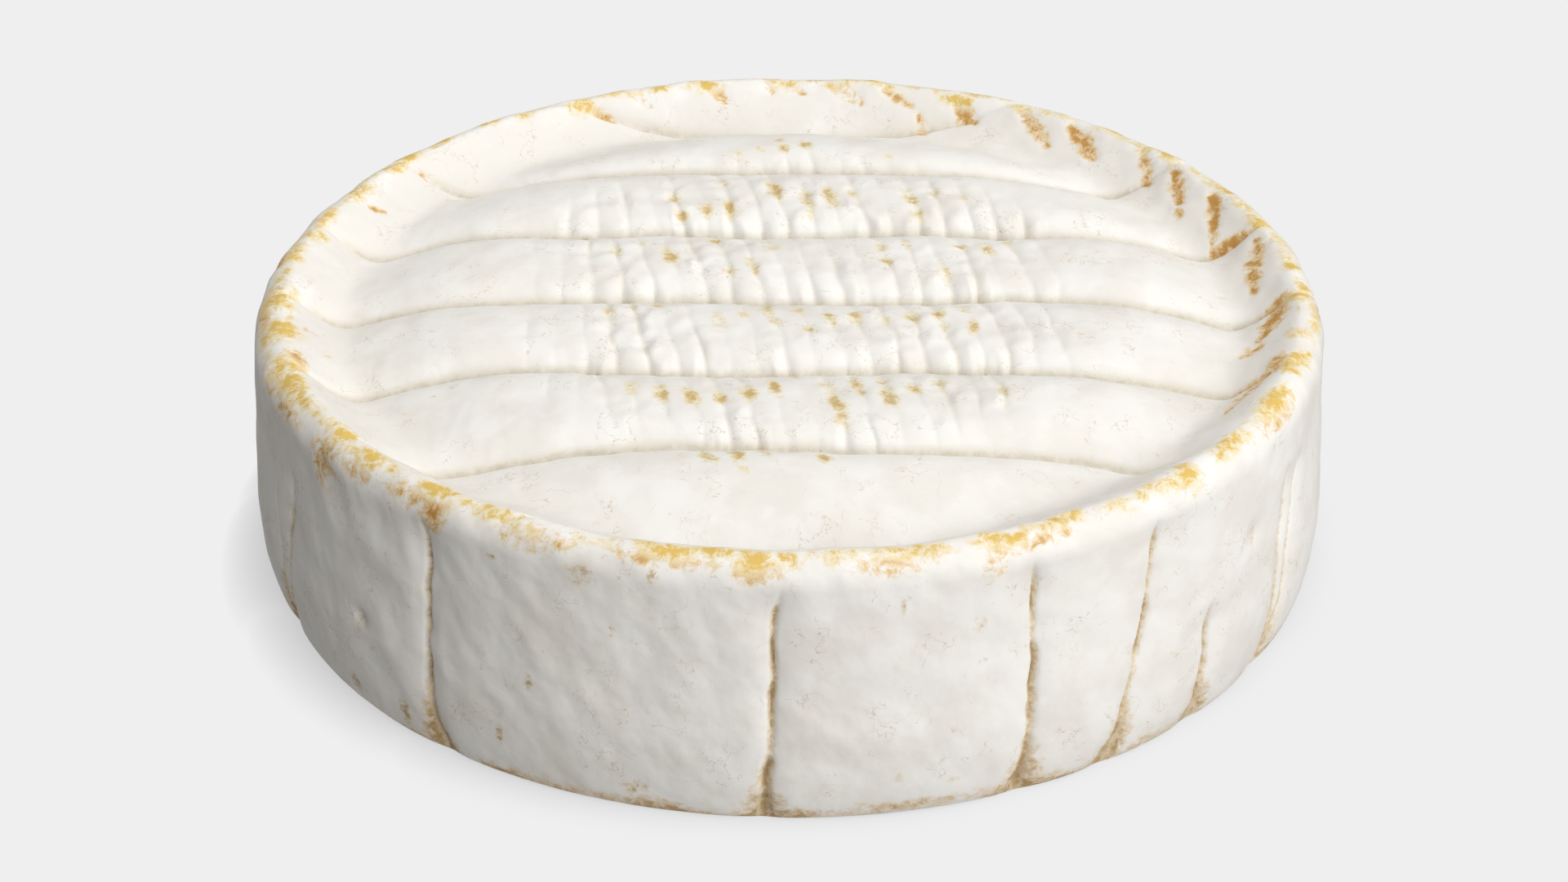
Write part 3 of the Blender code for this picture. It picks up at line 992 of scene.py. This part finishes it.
def make_lights():
    """Light from all round: the four glows, and a faint warm fill."""
    world = bpy.data.worlds.new("surround")
    bpy.context.scene.world = world
    world.use_nodes = True
    nodes, links = world.node_tree.nodes, world.node_tree.links

    def math_node(operation, *values):
        node = nodes.new("ShaderNodeMath")
        node.operation = operation
        for socket, value in zip(node.inputs, values):
            if isinstance(value, bpy.types.NodeSocket):
                links.new(value, socket)
            else:
                socket.default_value = value
        return node.outputs[0]

    direction = nodes.new("ShaderNodeTexCoord").outputs["Generated"]
    total = 0.0
    for turn, rise, gather, brightness in GLOWS:
        aim = nodes.new("ShaderNodeVectorMath")
        aim.operation = "DOT_PRODUCT"
        links.new(direction, aim.inputs[0])
        aim.inputs[1].default_value = towards(turn, rise)
        falling = math_node("EXPONENT", math_node("MULTIPLY_ADD", aim.outputs["Value"], gather, -gather))
        total = math_node("MULTIPLY_ADD", falling, brightness, total)
    color = nodes.new("ShaderNodeCombineColor")
    for socket, fill in zip(color.inputs, FILL):
        links.new(math_node("ADD", total, fill), socket)
    links.new(color.outputs["Color"], nodes["Background"].inputs["Color"])


def floor_material():
    """An even pale grey with a painted shadow, a little darker close to the wheel's shaded side, and clear from
    beneath.
    """
    material = bpy.data.materials.new("floor")
    material.use_nodes = True
    nodes, links = material.node_tree.nodes, material.node_tree.links
    nodes.remove(nodes["Principled BSDF"])
    shade = nodes.new("ShaderNodeAmbientOcclusion")
    shade.inputs["Distance"].default_value = FLOOR_SHADE_REACH
    lean = nodes.new("ShaderNodeCombineXYZ")
    for axis, value in zip("XYZ", towards(*FLOOR_SHADE_LEAN)):
        lean.inputs[axis].default_value = value
    glow = nodes.new("ShaderNodeEmission")
    strength = nodes.new("ShaderNodeMapRange")
    strength.inputs["To Min"].default_value = FLOOR_BRIGHTNESS * (1.0 - FLOOR_SHADE_DEPTH)
    strength.inputs["To Max"].default_value = FLOOR_BRIGHTNESS
    from_above = nodes.new("ShaderNodeMixShader")
    links.new(lean.outputs["Vector"], shade.inputs["Normal"])
    links.new(shade.outputs["AO"], strength.inputs["Value"])
    links.new(strength.outputs["Result"], glow.inputs["Strength"])
    links.new(nodes.new("ShaderNodeNewGeometry").outputs["Backfacing"], from_above.inputs["Fac"])
    links.new(glow.outputs["Emission"], from_above.inputs[1])
    links.new(nodes.new("ShaderNodeBsdfTransparent").outputs["BSDF"], from_above.inputs[2])
    links.new(from_above.outputs["Shader"], nodes["Material Output"].inputs["Surface"])
    return material


def make_floor():
    """A plain pale floor and a backdrop round it. They are only looked at: the lights do the lighting."""
    material = floor_material()
    bpy.ops.mesh.primitive_circle_add(radius=BACKDROP_RADIUS, fill_type="NGON")
    floor = bpy.context.object
    bpy.ops.mesh.primitive_cylinder_add(
        radius=BACKDROP_RADIUS, depth=BACKDROP_HEIGHT, end_fill_type="NOTHING"
    )
    backdrop = bpy.context.object
    backdrop.data.flip_normals()
    for name, surface in (("floor", floor), ("backdrop", backdrop)):
        surface.name = name
        surface.data.materials.append(material)
        surface.visible_diffuse = False
        surface.visible_glossy = False
        surface.visible_shadow = False


bpy.context.scene.view_settings.view_transform = "Standard"
make_camera()
make_lights()
make_floor()
rind = make_rind()
rind.data.materials.append(rind_material())
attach(rind, "root")
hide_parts("cheese_wheel")
